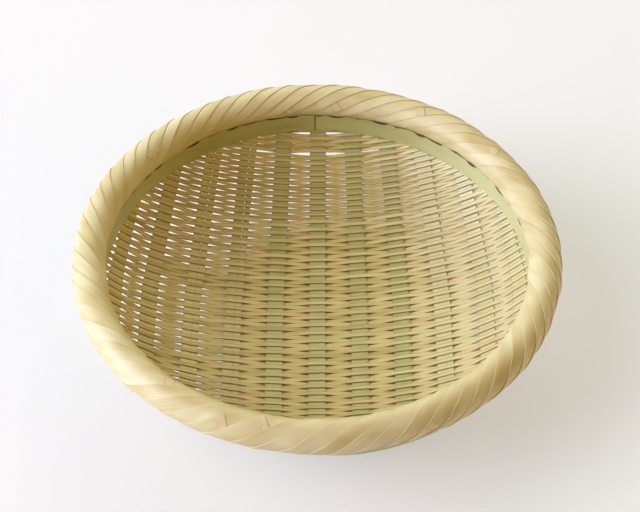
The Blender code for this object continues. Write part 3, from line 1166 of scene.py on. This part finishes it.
@dataclass
class Hoops:
    """The inner hoop, butted at the back, and the outer hoop, lapped at the front."""

    inner_thickness: float = 1.4 * MM
    # The dressed strip is this share of the solid's thickness, and leans in this far over its lowest part
    inner_thin_share: float = 0.7
    inner_lean: float = 0.35 * MM
    inner_lean_height: float = 3.0 * MM
    inner_gap: float = 0.45 * MM
    inner_drop: float = 0.75 * MM
    # How unevenly its top lies under the roll: size, waves round the basket and start
    inner_waves: tuple = ((0.3 * MM, 1, 1.4), (0.22 * MM, 25, 2.0), (0.28 * MM, 58, 4.0))
    # Reach of the painted shade on its edges: least, spread, waves round the basket and start
    inner_edge_shade: tuple = ((0.90, 0.08, 25, 2.0), (0.0, 0.08, 58, 4.0), (0.0, 0.05, 97, 1.0))
    inner_joint: float = math.radians(90.8)
    # How far the painted shade on the outer hoop's edges reaches
    outer_edge_shade: float = 0.85
    outer_thickness: float = 1.8 * MM
    outer_lap: float = 38 * MM
    outer_ramp: float = 34 * MM
    outer_joint: float = math.radians(280)
    gap: float = 0.3 * MM
    steps: int = 360
    inner_points_up: int = 6
    outer_points_up: int = 4
    rounding: float = 0.25 * MM
    segments: int = 3

    def build_inner(self, finish: bpy.types.Material) -> None:
        """The inner hoop.

        Args:
            finish: Its material.
        """
        low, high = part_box("inner_hoop")
        outside = (high[0] - low[0]) / 2
        inside = outside - self.inner_thickness
        middle = (outside + inside) / 2
        half = self.inner_gap / 2 / middle
        piece = Strips("inside_hoop")
        rows, edges = [], []
        for turn in np.linspace(self.inner_joint + half, self.inner_joint + math.tau - half, self.steps):
            unit = Vector((math.cos(turn), math.sin(turn), 0.0))
            top = high[2] - self.inner_drop
            for size, rate, start in self.inner_waves:
                top -= size * math.sin(rate * turn + start)
            row = []
            for height in np.linspace(low[2], top, self.inner_points_up):
                lean = self.inner_lean * max(1 - (height - low[2]) / self.inner_lean_height, 0.0)
                row.append(unit * (middle - lean) + Vector((0, 0, height)))
            rows.append(row)
            reach = 0.0
            for least, spread, rate, start in self.inner_edge_shade:
                reach += least + spread * math.sin(rate * turn + start)
            edges.append(min(reach, 1.0))
        piece.add(rows, 1, edges=edges)
        thickness = self.inner_thickness * self.inner_thin_share
        made = piece.finish(finish, thickness, self.rounding, self.segments)
        hand_over(made, HOOP_GREEN.slot, "inner_hoop")

    def build_outer(self, finish: bpy.types.Material) -> None:
        """The outer hoop.

        Args:
            finish: Its material.
        """
        low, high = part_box("outer_hoop")
        step_out = self.outer_thickness + self.gap
        middle = min(high[0], -low[0]) - self.outer_thickness / 2
        lap_turn, ramp_turn = self.outer_lap / middle, self.outer_ramp / middle
        rows = []
        for turn in np.linspace(0, math.tau + lap_turn, self.steps):
            radius = middle + step_out * ramp(turn, math.tau - ramp_turn, math.tau)
            angle = self.outer_joint + turn
            foot = Vector((math.cos(angle), math.sin(angle), 0.0)) * radius
            heights = np.linspace(low[2], high[2], self.outer_points_up)
            rows.append([foot + Vector((0, 0, height)) for height in heights])
        piece = Strips("outside_hoop")
        piece.add(rows, 2, edges=[self.outer_edge_shade] * len(rows))
        made = piece.finish(finish, self.outer_thickness, self.rounding, self.segments)
        hand_over(made, HOOP_GREEN.slot, "outer_hoop")

    def build(self) -> None:
        """Builds both hoops and hands them over."""
        finish = HOOP_GREEN.make()
        self.build_inner(finish)
        self.build_outer(finish)


@dataclass
class Feet:
    """The two stiff strips under the floor."""

    thickness: float = 2.5 * MM
    flat_length: float = 70 * MM
    # How far the painted shade on its edges reaches
    edges: float = 0.85
    points_to_end: int = 14
    points_across: int = 4
    rounding: float = 0.5 * MM
    segments: int = 3

    def build(self) -> None:
        """Builds both strips from their solids' boxes and hands them over."""
        finish = HOOP_GREEN.make()
        for number, name in enumerate(("front_support", "back_support"), 3):
            low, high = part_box(name)
            end = (high[0] - low[0]) / 2
            flat = self.flat_length / 2
            rise = high[2] - low[2] - self.thickness
            half = list(np.linspace(flat, end, self.points_to_end))
            rows = []
            for across in [-span for span in reversed(half)] + half:
                bend = (abs(across) - flat) / (end - flat)
                height = low[2] + self.thickness / 2 + rise * bend**2
                alongs = np.linspace(low[1], high[1], self.points_across)
                rows.append([Vector((across, along, height)) for along in alongs])
            piece = Strips(f"{name.split('_')[0]}_foot_strip")
            piece.add(rows, number, edges=[self.edges] * len(rows))
            made = piece.finish(finish, self.thickness, self.rounding, self.segments)
            hand_over(made, HOOP_GREEN.slot, name)


@dataclass(frozen=True)
class Lamp:
    """A square soft lamp: degrees round the basket and up, metres across, level and colour."""

    name: str
    azimuth: float
    elevation: float
    size: float
    level: float
    colour: Colour


@dataclass
class Studio:
    """The pale table, the soft light and the camera."""

    image_width: int = 640
    focal_pixels: float = 1811.4
    sensor: float = 36.0
    elevation: float = math.radians(47.43)
    roll: float = math.radians(0.2)
    distance: float = 0.887
    aim: Vector = field(default_factory=lambda: Vector((0.00134, -0.00145, 0.0564)))
    lamps: tuple = (
        Lamp("left_low", 190, 18, 2.2, 0.74, (0.93, 1.0, 1.42)),
        Lamp("left_high", 190, 35, 3.0, 0.75, (1.0, 1.0, 1.0)),
        Lamp("back_right", 60, 30, 3.0, 0.28, (1.0, 1.0, 0.7)),
        Lamp("back", 100, 30, 3.0, 0.40, (0.95, 1.0, 0.85)),
        Lamp("front_right", 330, 40, 3.0, 0.24, (1.5, 1.0, 0.4)),
    )
    lamp_distance: float = 3.0
    table_size: float = 5.0
    table_roughness: float = 0.9
    table_colour: Colour = (0.90, 0.90, 0.90)
    # What the camera sees of the table: paler shadows than the table's own colour gives
    seen_colour: Colour = (0.65, 0.62, 0.633)
    seen_glow: Colour = (0.33, 0.36, 0.376)
    # Under the basket it sees brown shade, more to the right, as the light comes in from the left
    under_colour: Colour = (0.30, 0.20, 0.09)
    under_glow: Colour = (0.05, 0.034, 0.012)
    under_middle: Place = (15 * MM, 10 * MM, 0.0)
    under_radius: float = 58 * MM
    beside_radius: float = 74 * MM
    # The shade reaches further out in front: an oval, its middle already narrowed as the table is
    front_narrowing: Place = (0.6, 1.0, 1.0)
    front_middle: Place = (7.2 * MM, -36 * MM, 0.0)
    front_inset: float = 32 * MM
    backdrop: Colour = (0.86, 0.87, 0.88)

    def table(self) -> None:
        """The table top that the basket stands on."""
        mesh = bmesh.new()
        bmesh.ops.create_grid(mesh, x_segments=1, y_segments=1, size=self.table_size / 2)
        shader = Shader(bpy.data.materials.new("pale_table"))
        rays = [shader.node("ShaderNodeLightPath", {}, {}, f"Is {kind} Ray") for kind in RAYS]
        seen = shader.maths("MAXIMUM", shader.maths("MAXIMUM", rays[0], rays[1]), rays[2])
        place = shader.place()
        oval = shader.vector_maths("MULTIPLY", place, self.front_narrowing)
        under = shader.vector_maths("DISTANCE", place, self.under_middle, output="Value")
        front = shader.vector_maths("DISTANCE", oval, self.front_middle, output="Value")
        out = shader.maths("MINIMUM", under, front + self.front_inset)
        beside = out.between(self.under_radius, self.beside_radius)
        colour = shader.blend(beside, self.under_colour, self.seen_colour)
        glow = shader.blend(beside, self.under_glow, self.seen_glow)
        inputs = {
            "Base Color": shader.blend(seen, self.table_colour, colour),
            "Emission Color": shader.blend(seen, BLACK, glow),
            "Emission Strength": 1.0,
            "Roughness": self.table_roughness,
            "Specular IOR Level": 0.0,
        }
        shader.fill(shader.main, inputs)
        set_down_mesh("table_top", mesh, shader.owner)

    def light(self, lamp: Lamp) -> None:
        """Hangs one soft lamp, turned to the basket.

        Args:
            lamp: Where it is, and how large, strong and warm.
        """
        data = bpy.data.lights.new(lamp.name, "AREA")
        data.shape = "SQUARE"
        data.size = lamp.size
        data.energy = lamp.level * (math.pi * self.lamp_distance) ** 2
        data.color = lamp.colour
        turn, climb = math.radians(lamp.azimuth), math.radians(lamp.elevation)
        flat = math.cos(climb)
        toward = Vector((flat * math.cos(turn), flat * math.sin(turn), math.sin(climb)))
        hung = set_down(lamp.name, data)
        hung.location = self.aim + toward * self.lamp_distance
        hung.rotation_euler = toward.to_track_quat("Z", "Y").to_euler()

    def room(self) -> None:
        """The room beyond the lamps, which only the camera sees as pale."""
        world = bpy.data.worlds.new("studio")
        shader = Shader(world, "Background")
        shader.fill(shader.main, {"Strength": 0.0})
        dark = Value(shader, shader.main.outputs["Background"])
        pale = shader.node("ShaderNodeBackground", {}, {"Color": self.backdrop})
        seen = shader.node("ShaderNodeLightPath", {}, {}, "Is Camera Ray")
        either = shader.node("ShaderNodeMixShader", {}, {0: seen, 1: dark, 2: pale})
        shader.fill(shader.tree.nodes["World Output"], {"Surface": either})
        bpy.context.scene.world = world

    def camera(self) -> None:
        """The camera, in front of the basket and above it."""
        data = bpy.data.cameras.new("camera")
        data.sensor_width = self.sensor
        data.lens = self.focal_pixels / self.image_width * self.sensor
        camera = set_down("camera", data)
        back = Vector((0.0, -math.cos(self.elevation), math.sin(self.elevation)))
        camera.location = self.aim + back * self.distance
        turn = (-back).to_track_quat("-Z", "Y").to_matrix()
        camera.rotation_euler = (turn @ Matrix.Rotation(self.roll, 3, "Z")).to_euler()
        bpy.context.scene.camera = camera

    def build(self) -> None:
        """Sets the table, the light and the camera."""
        self.table()
        self.room()
        for lamp in self.lamps:
            self.light(lamp)
        self.camera()
        bpy.context.scene.view_settings.view_transform = "Standard"


def main() -> None:
    """Builds the basket from its weave outwards, then the studio."""
    logging.basicConfig(level=logging.INFO)
    bowl = Bowl()
    warps = Warps(bowl)
    warps.build()
    Wefts(bowl, warps).build()
    Hoops().build()
    Rim().build()
    Feet().build()
    Studio().build()
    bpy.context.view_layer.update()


if __name__ == "__main__":
    main()
